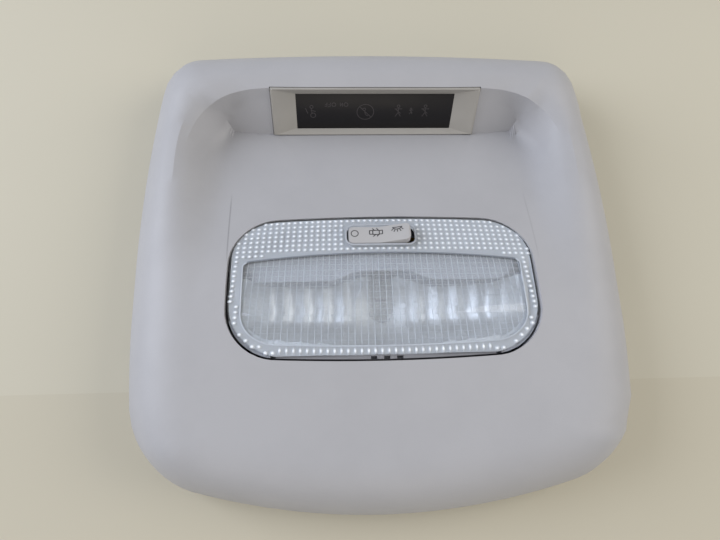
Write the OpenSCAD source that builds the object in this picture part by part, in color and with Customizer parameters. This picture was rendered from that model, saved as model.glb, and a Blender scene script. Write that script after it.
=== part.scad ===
/* [Console outline] */
// Width of the console at its widest
console_w = 205.4; // [194:0.2:216]
// Length of the console from its rear edge to its display end
console_l = 200; // [196:1:210]
// Height of the crown above the rim that meets the roof lining
crown_h = 36; // [35:0.5:40]
// Thickness of the console moulding
shell_t = 2.4; // [1.8:0.1:2.8]
// How far the side edges bow in at the ends
side_bow = 8.2; // [5:0.1:11]
// How far the front edge bows back at the corners
front_bow = 3; // [1:0.1:9]
// How far the rear edge bows forward at the corners
rear_bow = 20; // [16:0.5:24]
// Radius of the two front corners
front_corner_r = 18; // [16:1:28]
// Radius of the two rear corners
rear_corner_r = 24; // [18:1:32]
// Width of the rolled edge round the crown
roll_w = 24; // [19:1:26]

/* [Lamp opening] */
// Width of the lamp opening
opening_w = 121; // [117:1:124]
// Length of the lamp opening
opening_l = 59.6; // [57:0.2:61]
// Distance of the lamp opening's middle behind the console's middle
opening_back = 13.4; // [10:0.2:15]
// Corner radius of the lamp opening
opening_r = 18; // [15:0.5:21]
// Bow of the opening's long edges
opening_bow = 2.4; // [0.4:0.1:3]
// Depth of the collar round the opening
collar_h = 9; // [7:0.5:10]
// Thickness of the collar
collar_t = 1.8; // [1.4:0.1:2.2]

/* [Scoop] */
// Width of the scoop's floor
scoop_w = 126; // [124:1:132]
// Distance of the display wall's foot behind the console's front edge
wall_setback = 38.9; // [36:0.1:41]
// Slope of the display wall above the rim plane
wall_angle = 62; // [59:1:65]
// Arch radius of the floor under the lamp
floor_r = 200; // [190:5:230]
// Width of the side of the scoop, from floor to crest
scoop_side = 17; // [14:0.5:19]
// Corner radius of the crest round the scoop
crest_r = 27; // [22:1:32]
// Rounding of the crest above the display wall
crest_round = 4; // [2:0.5:7]
// Rounding of the crest along the sides of the scoop
crest_soft = 9; // [6:0.5:11]

/* [Fixing] */
// Distance between the two fixing screws
screw_spacing = 80; // [78:1:84]
// Diameter of the fixing screw holes
screw_hole_d = 4.6; // [3.6:0.1:5.2]
// Diameter of the fixing bosses
screw_boss_d = 9; // [8:0.5:10]
// Height of the fixing bosses
screw_boss_h = 13; // [10:0.5:13.5]

/* [Lamp lens] */
// Thickness of the lens
lens_t = 2; // [1.6:0.1:2.4]
// Gap between the lens and the edge of its opening
lens_gap = 0.7; // [0.5:0.1:0.9]
// Width of the open slot behind the lens's rear edge
slot_w = 1.5; // [1.2:0.1:2]
// Half length of that slot
slot_half = 43.5; // [40:0.5:46]
// How far the lens stands above the console floor
lens_proud = 0.3; // [0.2:0.1:0.6]

/* [Lamp body] */
// Wall thickness of the lamp housing
housing_t = 1.5; // [1.3:0.1:1.8]
// Height of the lamp housing's lowest point above the rim plane
housing_low = 3.5; // [2:0.5:4]
// Height of the front shelf's underside above the rim plane
shelf_low = 15.5; // [15:0.5:16]
// Width of the reflector
reflector_w = 109; // [106:1:110]
// Thickness of the reflector
reflector_t = 1.2; // [1:0.1:1.5]
// Number of flutes on each wing of the reflector
flute_count = 6; // [5:1:7]
// Depth of each flute
flute_d = 1.3; // [0.6:0.1:1.6]
// Diameter of the bulb's glass
bulb_d = 10.3; // [9.6:0.1:10.6]
// Height of the bulb's middle above the rim plane
bulb_h = 16.5; // [16.2:0.1:17]
// Distance from the console's middle back to the edge of the shield over the bulb's base
shield_back = 11; // [9:0.5:12]
// How far the shield's edge arches up in the middle
shield_arch = 4; // [2:0.5:5]
// Width of the retaining springs
spring_w = 12; // [8:1:16]

/* [Rocker] */
// Length of the rocker
rocker_l = 26.4; // [25.4:0.1:27.4]
// Width of the rocker
rocker_w = 7.5; // [7.2:0.1:7.8]
// Angle the rocker turns from one end stop to the other
rocker_swing = 14; // [10:1:15]
// Clearance round the rocker in the lens
rocker_gap = 0.5; // [0.4:0.1:0.7]

/* [Display] */
// Width of the display bezel
bezel_w = 90; // [86:0.5:92]
// Height of the display bezel along the wall
bezel_h = 22.6; // [21:0.2:22.8]
// Width of the smoked window
window_w = 68.7; // [65:0.1:71]
// Height of the smoked window
window_h = 16.8; // [15.2:0.2:17.2]
// Number of telltale lamps behind the window
telltale_count = 6; // [4:1:7]
// Depth of the light box behind the window
light_box_d = 6.6; // [6:0.2:7.4]

/* [Hidden] */
fit = 0.3;
hub = [0, -opening_back];
peak_y = -43.2;
bend_y = 17.8;
wide_y = -7;
wall_foot_y = console_l / 2 - wall_setback;

// A bowed rounded rectangle: half width, rear y, front y, the bows of side, front and rear
// edges, the front and rear corner radii, the y where it is widest and the front bow's power.
outline = [console_w / 2, -console_l / 2, console_l / 2, side_bow, front_bow, rear_bow,
           front_corner_r, rear_corner_r, wide_y, 2];
opening = [opening_w / 2, -opening_back - opening_l / 2, -opening_back + opening_l / 2, 0.8,
           opening_bow, opening_bow, opening_r, opening_r, -opening_back, 2];
foot = [scoop_w / 2, opening[1] - 4, wall_foot_y, 0, -2.3, opening_bow, 0, opening_r + 2, 0, 4];
crest = [scoop_w / 2 + scoop_side, -console_l / 2 + roll_w + 2, wall_foot_y + 11.4, 1, 0.5, 10,
         crest_r, 30, 0, 2];

function corner_inset(a, b, r) = a < r && b < r ? r - norm([r - a, r - b]) : min(a, b);
function inset(s, x, y) =
    let (length_half = (s[2] - s[1]) / 2,
         side = s[0] - s[3] * pow((y - s[8]) / length_half, 2) - abs(x),
         front = s[2] - s[4] * pow(x / s[0], s[9]) - y,
         rear = y - s[1] - s[5] * pow(x / s[0], 2))
    front < rear ? corner_inset(side, front, s[6]) : corner_inset(side, rear, s[7]);
function reach(s, u, off, lo = 0, hi = 180, n = 18) =
    n == 0 ? (lo + hi) / 2 :
    let (m = (lo + hi) / 2)
    inset(s, hub[0] + m * cos(u), hub[1] + m * sin(u)) > off
        ? reach(s, u, off, m, hi, n - 1) : reach(s, u, off, lo, m, n - 1);
function smooth_min(a, b, k) =
    let (h = max(k - abs(a - b), 0) / k) min(a, b) - h * h * k / 4;
function smooth_step(t) = t <= 0 ? 0 : t >= 1 ? 1 : t * t * (3 - 2 * t);
function at_ray(u, r) = [hub[0] + r * cos(u), hub[1] + r * sin(u)];

function floor_z(y) =
    let (fall = y < peak_y ? 0 :
        y < bend_y ? pow(y - peak_y, 2) / (2 * floor_r) :
        pow(bend_y - peak_y, 2) / (2 * floor_r) + (y - bend_y) * (bend_y - peak_y) / floor_r)
    crown_h - fall;
function rim_z(x, y) =
    crown_h - 1.5 * pow(x / 80, 2) - pow(max(0, y - peak_y) / 116, 2)
            - 1.8 * pow(max(0, peak_y - y) / 33, 2);
function roll(d, w, p = 2.3) = d <= 0 ? 0 : d >= w ? 1 : pow(1 - pow(1 - d / w, p), 1 / p);
function wall_z(x, y) =
    let (y0 = foot[2] - foot[4] * pow(x / foot[0], foot[9]))
    floor_z(y0) + (y - y0) * tan(wall_angle);

// Height of the skin at a point whose ray meets the foot curve at r0 and the crest at r1;
// off is 0 on the outer face and the wall thickness on the inner one.
function skin_z(x, y, r, r0, r1, off) =
    let (low = floor_z(y), high = max(rim_z(x, y), low + 0.01), rise = high - low,
         side = pow(max(0, (r - r0) / (r1 - r0)), 2.4 + 2 * smooth_step((y - foot[2]) / 22 + 1)),
         wall = (wall_z(x, y - off * tan(wall_angle / 2)) - low) / rise,
         soft = crest_round + (crest_soft - crest_round) * smooth_step((abs(x) - bezel_w / 2) / 14),
         share = smooth_min(max(0, side, wall), 1, min(0.9, soft / max(rise, 0.1))))
    (low + rise * share - off) * roll(inset(outline, x, y) - off, roll_w - off);

// The rays stand closer together at the corners; one meets each end of the wall's foot.
corner_turn = atan2(foot[2] - foot[4] - hub[1], foot[0]);
half_turns = concat(turn_steps(-90, -55, 6), turn_steps(-55, -30, 13), turn_steps(-30, -8, 8),
                    turn_steps(-8, 8, 2), turn_steps(8, 38, 11), turn_steps(38, corner_turn, 6),
                    turn_steps(corner_turn, 58, 8), turn_steps(58, 90, 8), [90]);
function turn_steps(from, to, n) = [for (i = [0:n - 1]) from + (to - from) * i / n];
last_turn = len(half_turns) - 1;
turns = concat(half_turns, [for (i = [1:last_turn - 1]) 180 - half_turns[last_turn - i]]);
function skin_ring(u, off, floor_steps, side_steps, roll_steps) =
    let (r0 = reach(foot, u, -off), r1 = reach(crest, u, -off), r2 = reach(outline, u, off),
         ra = reach(opening, u, off == 0 ? 0 : -collar_t),
         radii = concat([for (i = [0:floor_steps]) ra + (r0 - ra) * i / floor_steps],
                        [for (i = [1:side_steps]) r0 + (r1 - r0) * i / side_steps],
                        [for (i = [1:roll_steps]) r1 + (r2 - r1) * sin(90 * i / roll_steps)]))
    [for (i = [0:len(radii) - 1]) let (p = at_ray(u, radii[i]))
        [p[0], p[1], i == len(radii) - 1 ? 0 : skin_z(p[0], p[1], radii[i], r0, r1, off)]];
function section(u) =
    let (outer = skin_ring(u, 0, 3, 7, 9), inner = skin_ring(u, shell_t, 1, 5, 6),
         n = len(inner), z = outer[0][2] - collar_h, p = inner[0], q = outer[0])
    concat(outer, [for (i = [n - 1:-1:0]) inner[i]], [[p[0], p[1], z], [q[0], q[1], z]]);

module swept(sections) {
    n = len(sections);
    m = len(sections[0]);
    points = [for (s = sections) each s];
    faces = [for (i = [0:n - 1], j = [0:m - 1])
        let (a = i * m + j, b = i * m + (j + 1) % m,
             c = ((i + 1) % n) * m + (j + 1) % m, d = ((i + 1) % n) * m + j)
        each [[a, c, b], [a, d, c]]];
    polyhedron(points, faces, convexity = 6);
}

module block(from, to) {
    translate(from)
    cube(to - from);
}

// Frames: on the display wall (y up the wall, z out of it) and on the rocker (z out of the lens).
module on_wall() {
    translate([0, wall_foot_y, floor_z(wall_foot_y)])
    rotate([wall_angle, 0, 0])
    children();
}
rocker_x = -0.2;
rocker_y = 7.5;
rocker_slope = atan((rocker_y - peak_y) / floor_r);
module on_rocker() {
    translate([rocker_x, rocker_y, floor_z(rocker_y) + lens_proud])
    rotate([-rocker_slope, 0, 0])
    children();
}

// Display stack, measured from the wall's face inwards.
wall_len = (crown_h - 1 - floor_z(wall_foot_y)) / sin(wall_angle);
bezel_low = 0.4;
frame_h = min(bezel_h, wall_len - bezel_low - 1.4);
pane_h = min(window_h, frame_h - 5.8);
pane_mid = bezel_low + 2.2 + pane_h / 2;
stack_h = pane_h + 2;
bezel_out = 0.4;
window_front = -1.8;
window_back = -3.9;
box_back = window_back - light_box_d;
board_t = 1.6;
board_back = box_back - board_t;
ear_x = bezel_w / 2 + 8;
ear_front = -6.6;

module console_shell() {
    color("silver")
    difference() {
        union() {
            swept([for (u = turns) section(u)]);
            for (side = [-1, 1]) {
                fixing_boss(side);
                block([side * 52 - 1, console_l / 2 - 17, 2], [side * 52 + 1, console_l / 2 - 5, 20]);
                on_wall()
                translate([side * ear_x, pane_mid, ear_front])
                cylinder(d = 6, h = 4.4, $fn = 32);
            }
        }
        on_wall()
        block([-bezel_w / 2 - fit, bezel_low - fit, -8],
              [bezel_w / 2 + fit, bezel_low + frame_h + fit, 6]);
        for (side = [-1, 1]) {
            translate([side * screw_spacing / 2, boss_y, -1])
            cylinder(d = screw_hole_d, h = screw_boss_h + 2, $fn = 48);
            on_wall()
            translate([side * ear_x, pane_mid, ear_front - 0.1])
            cylinder(d = 2.2, h = 4, $fn = 32);
        }
    }
}

boss_y = 10;
boss_x = screw_spacing / 2;
boss_edge_y = opening[2] - opening_bow * pow(boss_x / opening[0], 2);
module fixing_boss(side) {
    translate([side * boss_x, boss_y, 0])
    cylinder(d = screw_boss_d, h = screw_boss_h, $fn = 48);
    block([side * boss_x - 1.2, boss_y + 3.4, 1], [side * boss_x + 1.2, boss_edge_y + 1, screw_boss_h]);
    block([side * boss_x - 5, boss_edge_y + 0.3, 1],
          [side * boss_x + 5, boss_edge_y + collar_t - 0.6, floor_z(boss_edge_y) - collar_h + 2.5]);
}

module display_bezel() {
    flat = [window_w / 2, pane_h / 2];
    wide = bezel_w / 2 - 0.9;
    low = bezel_low - pane_mid;
    color("gainsboro")
    on_wall()
    translate([0, pane_mid, 0])
    difference() {
        union() {
            block([-bezel_w / 2, low, window_back], [bezel_w / 2, low + frame_h, bezel_out]);
            for (side = [-1, 1])
                block([side * (bezel_w / 2 + 1.2) - 2, -7, window_back],
                      [side * (bezel_w / 2 + 1.2) + 2, 7, window_back + 0.5]);
        }
        frustum(-flat, flat, window_front,
                [-wide, low + 0.3], [wide, low + frame_h - 0.4], bezel_out + 0.001);
        block([-flat[0], -flat[1], window_back - 1], [flat[0], flat[1], window_front + 0.1]);
        block([-flat[0] - 1.2, -flat[1] - 0.8, window_back - 1],
              [flat[0] + 1.2, flat[1] + 0.8, window_front]);
    }
}

module frustum(a0, a1, za, b0, b1, zb) {
    points = [[a0[0], a0[1], za], [a1[0], a0[1], za], [a1[0], a1[1], za], [a0[0], a1[1], za],
              [b0[0], b0[1], zb], [b1[0], b0[1], zb], [b1[0], b1[1], zb], [b0[0], b1[1], zb]];
    polyhedron(points, [[0, 1, 2, 3], [4, 7, 6, 5], [0, 4, 5, 1], [1, 5, 6, 2], [2, 6, 7, 3],
                        [3, 7, 4, 0]]);
}

module display_window() {
    color("dimgray")
    on_wall()
    translate([0, pane_mid, 0])
    block([-window_w / 2 - 1, -pane_h / 2 - 0.6, window_back],
          [window_w / 2 + 1, pane_h / 2 + 0.6, window_front]);
}

box_half = bezel_w / 2 - 3;
cell_w = window_w / telltale_count;
module display_light_box() {
    color("white")
    on_wall()
    translate([0, pane_mid, 0])
    difference() {
        union() {
            block([-box_half, -stack_h / 2, box_back], [box_half, stack_h / 2, window_back]);
            for (side = [-1, 1])
                block([side * (ear_x + box_half) / 2 - (ear_x - box_half) / 2 - 2, -4, ear_front - 2],
                      [side * (ear_x + box_half) / 2 + (ear_x - box_half) / 2 + 2, 4, ear_front]);
            for (x = [-22, 22], side = [-1, 1])
                clip(x, side);
        }
        for (i = [0:telltale_count - 1])
            translate([(i - (telltale_count - 1) / 2) * cell_w, 0, 0])
            block([-cell_w / 2 + 0.6, -pane_h / 2 + 1, box_back - 1],
                  [cell_w / 2 - 0.6, pane_h / 2 - 1, window_back + 1]);
        for (side = [-1, 1])
            translate([side * ear_x, 0, ear_front - 3])
            cylinder(d = 3.2, h = 4, $fn = 32);
    }
}
module clip(x, side) {
    block([x - 2, side * (stack_h / 2 - 0.45) - 0.45, board_back - 1.1],
          [x + 2, side * (stack_h / 2 - 0.45) + 0.45, box_back + 1]);
    block([x - 2, side * (stack_h / 2 - 0.85) - 0.85, board_back - 1.1],
          [x + 2, side * (stack_h / 2 - 0.85) + 0.85, board_back]);
}

board_half = stack_h / 2 - 1.2;
module display_board() {
    color("green")
    on_wall()
    translate([0, pane_mid, 0])
    block([-box_half + 0.5, -board_half, board_back], [box_half - 0.5, board_half, box_back]);
}

module telltale_leds() {
    color("khaki")
    on_wall()
    translate([0, pane_mid, 0])
    for (i = [0:telltale_count - 1])
        translate([(i - (telltale_count - 1) / 2) * cell_w, 0, box_back])
        difference() {
            block([-1.75, -1.4, 0], [1.75, 1.4, 1.4]);
            translate([0, 0, 0.9])
            cylinder(d = 2.2, h = 1, $fn = 24);
        }
}

plug_w = 17;
plug_h = 9;
plug_d = 9;
plug_x = 18;
module display_connector() {
    color("ivory")
    on_wall()
    translate([plug_x, pane_mid, board_back - plug_d])
    difference() {
        union() {
            block([-plug_w / 2, -plug_h / 2, 0], [plug_w / 2, plug_h / 2, plug_d]);
            block([-3, plug_h / 2, 2], [3, plug_h / 2 + 1.2, 5]);
        }
        block([-plug_w / 2 + 1, -plug_h / 2 + 1, -1], [plug_w / 2 - 1, plug_h / 2 - 1, plug_d - 2]);
        for (x = [-5.25:3.5:5.25], y = [-1.5, 1.5])
            block([x - 0.42, y - 0.42, plug_d - 3], [x + 0.42, y + 0.42, plug_d + 1]);
    }
}

module display_pins() {
    color("gold")
    on_wall()
    translate([plug_x, pane_mid, board_back - plug_d])
    for (x = [-5.25:3.5:5.25], y = [-1.5, 1.5])
        block([x - 0.32, y - 0.32, 2], [x + 0.32, y + 0.32, plug_d]);
}

module display_screws() {
    color("gray")
    on_wall()
    for (side = [-1, 1])
        translate([side * ear_x, pane_mid, ear_front])
        difference() {
            union() {
                translate([0, 0, -4])
                cylinder(d = 5.4, h = 2, $fn = 32);
                translate([0, 0, -3])
                cylinder(d = 2, h = 6, $fn = 32);
            }
            translate([0, 0, -4.1])
            cylinder(d = 2.4, h = 1.1, $fn = 6);
        }
}

// Plan outlines inside the lamp opening.
module opening_plan(off) {
    polygon([for (u = turns) at_ray(u, reach(opening, u, off))]);
}
module lens_plan() {
    difference() {
        opening_plan(lens_gap);
        difference() {
            translate([-slot_half, opening[1] - 5])
            square([2 * slot_half, 20]);
            opening_plan(lens_gap + slot_w);
        }
    }
}
module arch(r) {
    translate([-70, peak_y, crown_h - floor_r])
    rotate([0, 90, 0])
    cylinder(r = r, h = 140, $fn = 360);
}
lens_under = floor_r + lens_proud - lens_t;
function lens_under_z(y) = floor_z(y) + lens_proud - lens_t;

module lamp_lens() {
    color([0.8, 0.9, 0.95, 0.5])
    difference() {
        union() {
            intersection() {
                translate([0, 0, crown_h - 20])
                linear_extrude(24)
                lens_plan();
                difference() {
                    arch(floor_r + lens_proud);
                    arch(lens_under);
                }
            }
            for (side = [-1, 1], y = [-24, -2])
                lens_leg(side, y);
            on_rocker()
            pill(rocker_l / 2 + rocker_gap + frame_w, rocker_w / 2 + rocker_gap + frame_w,
                 pill_r + rocker_gap + frame_w, -1, 0.5);
        }
        on_rocker()
        pill(rocker_l / 2 + rocker_gap, rocker_w / 2 + rocker_gap, pill_r + rocker_gap, -8, 6);
    }
}
pill_r = 2.2;
frame_w = 0.6;
module pill(half_l, half_w, r, z0, z1) {
    for (side = [-1, 1], end = [-1, 1])
        translate([side * (half_l - r), end * (half_w - r), z0])
        cylinder(r = r, h = z1 - z0, $fn = 48);
    block([-half_l + r, -half_w, z0], [half_l - r, half_w, z1]);
    block([-half_l, -half_w + r, z0], [half_l, half_w - r, z1]);
}
leg_x = opening_w / 2 - lens_gap - housing_t - 2.4;
module lens_leg(side, y) {
    z = lens_under_z(y + 2.5);
    block([side * leg_x - 0.6, y - 2.5, z - 7], [side * leg_x + 0.6, y + 2.5, z + 0.8]);
    block([side * (leg_x + 1.4) - 1.4, y - 2.5, z - 7], [side * (leg_x + 1.4) + 1.4, y + 2.5, z - 5.5]);
}

housing_gap = lens_gap + 0.2;
shelf_top = shelf_low + housing_t;
well_front = 1.2;
well_half = opening_w / 2 - housing_gap - 3.5;
well_rear = opening[1] + housing_gap + 2.6;
pocket_half = 8.4;
pin_x = [20, 24.5, 29];
pin_y = rocker_y;
post_y = hub[1];
module lamp_housing() {
    color("lightgray")
    difference() {
        union() {
            intersection() {
                translate([0, 0, shelf_low])
                linear_extrude(30)
                opening_plan(housing_gap);
                arch(lens_under - fit);
            }
            block([-well_half, well_rear, housing_low], [well_half, well_front, shelf_low + 1]);
            block([-pocket_half - housing_t, 0, bulb_h - 5.4 - housing_t],
                  [pocket_half + housing_t, 13.9, shelf_low + 1]);
            block([pin_x[0] - 4, 1.6, shelf_low - 9], [pin_x[2] + 4, 13.4, shelf_low + 1]);
        }
        intersection() {
            translate([0, 0, shelf_top])
            linear_extrude(30)
            opening_plan(housing_gap + housing_t);
            block([-opening_w, well_rear + 0.6, 0], [opening_w, opening_w, 2 * crown_h]);
        }
        block([-well_half + housing_t, well_rear + housing_t, housing_low + housing_t],
              [well_half - housing_t, well_front - housing_t, 24]);
        block([-pocket_half, -4, bulb_h - 5.4], [pocket_half, 12.4, 24]);
        block([pin_x[0] - 2.8, 2.8, shelf_low - 10], [pin_x[2] + 2.8, 12.2, shelf_low]);
        for (x = pin_x)
            block([x - 1.7, pin_y - 0.7, shelf_low - 1], [x + 1.7, pin_y + 0.7, shelf_top + 1]);
        for (x = [-4.9, 0, 4.9])
            block([x - 1.2, opening[1], crown_h - 5],
                  [x + 1.2, opening[1] + housing_gap + 1.1, crown_h + 2]);
        for (side = [-1, 1])
            block([side * (slot_half - 1.4) - 1, opening[1], crown_h - 6],
                  [side * (slot_half - 1.4) + 1, opening[1] + housing_gap + 2.8, crown_h + 2]);
        for (side = [-1, 1], y = [-24, -2])
            block([side * (leg_x + 2.4) - 2.5, y - 3, lens_under_z(y) - 8.2],
                  [side * (leg_x + 2.4) + 2.5, y + 3, lens_under_z(y) - 5.1]);
    }
    color("lightgray")
    for (side = [-1, 1])
        block([side * (well_half - 0.9) - 1.3, post_y - 6, shelf_low],
              [side * (well_half - 0.9) + 1.3, post_y, reflector_edge_z(post_y) - reflector_drop - fit]);
    color("lightgray")
    rocker_cradle();
    color("lightgray")
    shield();
}

// Shield over the bulb's base: a plate under the lens, arched in the middle, on a screen wall.
shield_drop = 3.2;
shield_t = 1.4;
shield_half = 54;
shield_round = 9.4;
function shield_edge(x) =
    let (t = max(0, x - shield_half + shield_round) / shield_round)
    -shield_back + shield_arch * smooth_step((21 - abs(x)) / 12)
                 + shield_round * (1 - sqrt(max(0, 1 - t * t)));
module shield() {
    intersection() {
        linear_extrude(40)
        difference() {
            polygon(concat([for (i = [0:40]) let (x = -shield_half + 3.4 + (2 * shield_half - 3.5) * i / 40)
                                [x, shield_edge(x)]],
                           [[shield_half, -1.6], [51, 2.1], [-51, 2.1], [-shield_half, -1.6]]));
            translate([rocker_x - 7, -0.7])
            square([14, 4]);
        }
        difference() {
            arch(lens_under - shield_drop);
            arch(lens_under - shield_drop - shield_t);
        }
    }
    for (side = [-1, 1])
        block([side * 30.5 - 20, well_front - fit, shelf_low + 0.5],
              [side * 30.5 + 20, well_front + 0.9, lens_under_z(well_front + 0.9) - shield_drop - 0.5]);
}

// The rocker's two bearings stand on bridges that cross the bulb holder.
axle_drop = 4.2;
axle_r = 1.3;
bearing_in = rocker_w / 2 + 1.3;
holder_top = bulb_h + 4.6;
function cradle_z(y) = floor_z(rocker_y) + lens_proud - 7.2 / cos(rocker_slope)
                       - (y - rocker_y) * tan(rocker_slope);
module rocker_cradle() {
    rear_top = max(cradle_z(-0.2), holder_top + fit + 1.5);
    front_top = max(cradle_z(11.3), holder_top + fit) + 1.5;
    difference() {
        union() {
            on_rocker()
            for (side = [-1, 1])
                block([-3, side * (bearing_in + 0.55) - 0.55, -7.2],
                      [3, side * (bearing_in + 0.55) + 0.55, -2.7]);
            block([-9.9, -0.2, holder_top], [9.9, 0.9, rear_top]);
            for (side = [-1, 1])
                block([side * 9.25 - 0.65, -0.2, shelf_low], [side * 9.25 + 0.65, 0.9, rear_top]);
            block([-4.4, 11.3, holder_top], [2.4, 13.6, front_top]);
            block([-4.4, 12.5, shelf_low], [2.4, 13.6, front_top]);
        }
        block([-pocket_half, -1, bulb_h], [pocket_half, 12.4, holder_top + fit]);
        on_rocker() {
            translate([0, 0, -axle_drop])
            rotate([90, 0, 0])
            cylinder(r = axle_r + 0.1, h = 20, center = true, $fn = 48);
            block([-8, 0.05 - bearing_in, -12], [8, bearing_in - 0.05, 4]);
        }
    }
}

// Reflector: a fluted trough with a round bowl behind the bulb, clamped to a flange under the lens.
reflector_rear = -38.4;
reflector_front = -0.8;
bowl_y = -20;
bowl_r = 13.5;
flute_from = 7;
wing_half = reflector_w / 2;
reflector_drop = reflector_t * 1.4;
function reflector_edge_z(y) = lens_under_z(y) - 0.4;
function flute(x) =
    let (t = (abs(x) - flute_from) / (wing_half - 6 - flute_from) * flute_count, f = t - floor(t))
    t < 0 || t > flute_count ? 0 : flute_d * 4 * f * (1 - f);
function reflector_z(x, y) =
    let (wing = 9.5 + 10 * pow(max(0, abs(x) - 8) / (wing_half - 8), 1.6),
         end = 13 * pow(max(0, abs(x) - wing_half + 12) / 10, 2.2),
         rear = 26 * pow(max(0, (-17 - y) / (18.5 - 0.0032 * x * x)), 2.2),
         front = 1.7 * max(0, y + 8),
         trough = wing + end + max(rear, front) - flute(x),
         bowl = 7 + 9 * pow(norm([x, y - bowl_y]) / bowl_r, 2.4),
         under = y > -10 ? shield_drop + shield_t + fit : 0)
    min(reflector_edge_z(y) - under, max(6.8, min(trough, bowl)));
function column_x(i, n) = let (t = i / n * 2 - 1) wing_half * t;
module reflector() {
    columns = 74;
    rows = 13;
    xs = [for (i = [0:columns]) column_x(i, columns)];
    ys = [for (j = [0:rows]) reflector_rear + (reflector_front - reflector_rear) * j / rows];
    top = [for (y = ys, x = xs) [x, y, reflector_z(x, y)]];
    low = [for (y = ys, x = xs) [x, y, reflector_z(x, y) - reflector_drop]];
    n = columns + 1;
    m = len(top);
    faces = concat(
        [for (j = [0:rows - 1], i = [0:columns - 1]) let (a = j * n + i)
            each [[a, a + n + 1, a + 1], [a, a + n, a + n + 1]]],
        [for (j = [0:rows - 1], i = [0:columns - 1]) let (a = m + j * n + i)
            each [[a, a + 1, a + n + 1], [a, a + n + 1, a + n]]],
        [for (i = [0:columns - 1]) each [[i, i + 1, m + i + 1], [i, m + i + 1, m + i]]],
        [for (i = [0:columns - 1]) let (a = rows * n + i)
            each [[a, m + a + 1, a + 1], [a, m + a, m + a + 1]]],
        [for (j = [0:rows - 1]) let (a = j * n, b = a + n)
            each [[a, m + a, m + b], [a, m + b, b]]],
        [for (j = [0:rows - 1]) let (a = j * n + columns, b = a + n)
            each [[a, m + b, m + a], [a, b, m + b]]]);
    color("lightsteelblue")
    difference() {
        intersection() {
            polyhedron(concat(top, low), faces, convexity = 8);
            linear_extrude(40)
            opening_plan(housing_gap + housing_t + 0.6);
        }
        translate([0, 6, bulb_h])
        rotate([90, 0, 0])
        cylinder(r = bulb_d / 2 + 1.1, h = 16, $fn = 48);
    }
}

glass_r = bulb_d / 2;
glass_tip = -26;
pinch_y = -4;
module bulb_glass() {
    color([0.9, 0.95, 1, 0.5])
    translate([0, 0, bulb_h])
    rotate([-90, 0, 0])
    union() {
        rotate_extrude($fn = 32)
        difference() {
            bulb_profile(glass_r, 0);
            bulb_profile(glass_r - 0.6, 0.6);
        }
        block([-4.6, -1.3, pinch_y - 0.4], [4.6, 1.3, 4.5]);
    }
}
module bulb_profile(r, wall) {
    translate([0, glass_tip + glass_r])
    intersection() {
        circle(r, $fn = 32);
        translate([0, -20])
        square([20, 20]);
    }
    translate([0, glass_tip + glass_r])
    square([r, pinch_y - glass_tip - glass_r - wall]);
}

coil_y = -17;
module bulb_filament() {
    color("dimgray")
    translate([0, 0, bulb_h]) {
        for (side = [-1, 1])
            translate([side * 2.2, coil_y, 0])
            rotate([-90, 0, 0])
            cylinder(d = 0.5, h = pinch_y - 0.6 - coil_y, $fn = 16);
        translate([-2.6, coil_y, 0])
        rotate([0, 90, 0])
        cylinder(d = 0.8, h = 5.2, $fn = 24);
    }
}

module bulb_holder() {
    color("white")
    translate([0, 0, bulb_h])
    difference() {
        union() {
            block([-8.1, -0.7, -5.1], [8.1, 12.1, holder_top - bulb_h]);
            translate([0, -3, 0])
            rotate([-90, 0, 0])
            cylinder(r = glass_r + 0.7, h = 2.4, $fn = 48);
        }
        block([-4.9, -4, -1.6], [4.9, 7, 1.6]);
        block([-7, 1, -3.1], [7, 9, 3.1]);
        translate([0, -3.5, 0])
        rotate([-90, 0, 0])
        cylinder(r = 4.9, h = 2.9, $fn = 48);
        for (side = [-1, 1])
            block([side * 6 - 1, 2.6, 2], [side * 6 + 1, 7.4, 6]);
    }
}

module holder_contact(side) {
    translate([0, 0, bulb_h]) {
        block([side * 5.3 - 0.3, 2, -2.8], [side * 5.3 + 0.3, 8, 2.8]);
        block([side * 5.9 - 0.4, 3, 2.2], [side * 5.9 + 0.4, 7, 4.9]);
        block([side * 5.5 - 0.5, 3, 2.2], [side * 5.5 + 0.5, 7, 2.8]);
    }
}
module holder_contact_live() {
    color("goldenrod")
    holder_contact(-1);
}
module holder_contact_earth() {
    color("goldenrod")
    holder_contact(1);
}

// Brass strips on the front shelf, each ending in a blade that drops into the plug socket.
strip_t = 0.6;
pad_in = 8.6;
pad_out = 11;
function pad_z(y) = floor_z(rocker_y) + lens_proud - 4.3 - (y - rocker_y) * tan(rocker_slope);
module strip(pin, y) {
    block([pad_out - strip_t, y - 0.7, shelf_top], [pin + 1.4, y + 0.7, shelf_top + strip_t]);
    block([pin - 1.4, min(y, pin_y) - 0.9, shelf_top],
          [pin + 1.4, max(y, pin_y) + 0.9, shelf_top + strip_t]);
    block([pin - 1.4, pin_y - 0.4, shelf_low - 7], [pin + 1.4, pin_y + 0.4, shelf_top + strip_t / 2]);
    block([pad_out - strip_t, y - 0.7, shelf_top + strip_t / 2], [pad_out, y + 0.7, pad_z(y)]);
    block([pad_in, y - 0.7, pad_z(y) - strip_t], [pad_out, y + 0.7, pad_z(y)]);
}
module strip_battery() {
    color("goldenrod")
    strip(pin_x[2], rocker_y + 2);
}
module strip_door() {
    color("goldenrod")
    strip(pin_x[0], rocker_y);
}
module strip_earth() {
    color("goldenrod")
    strip(pin_x[1], rocker_y - 2);
}

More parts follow.
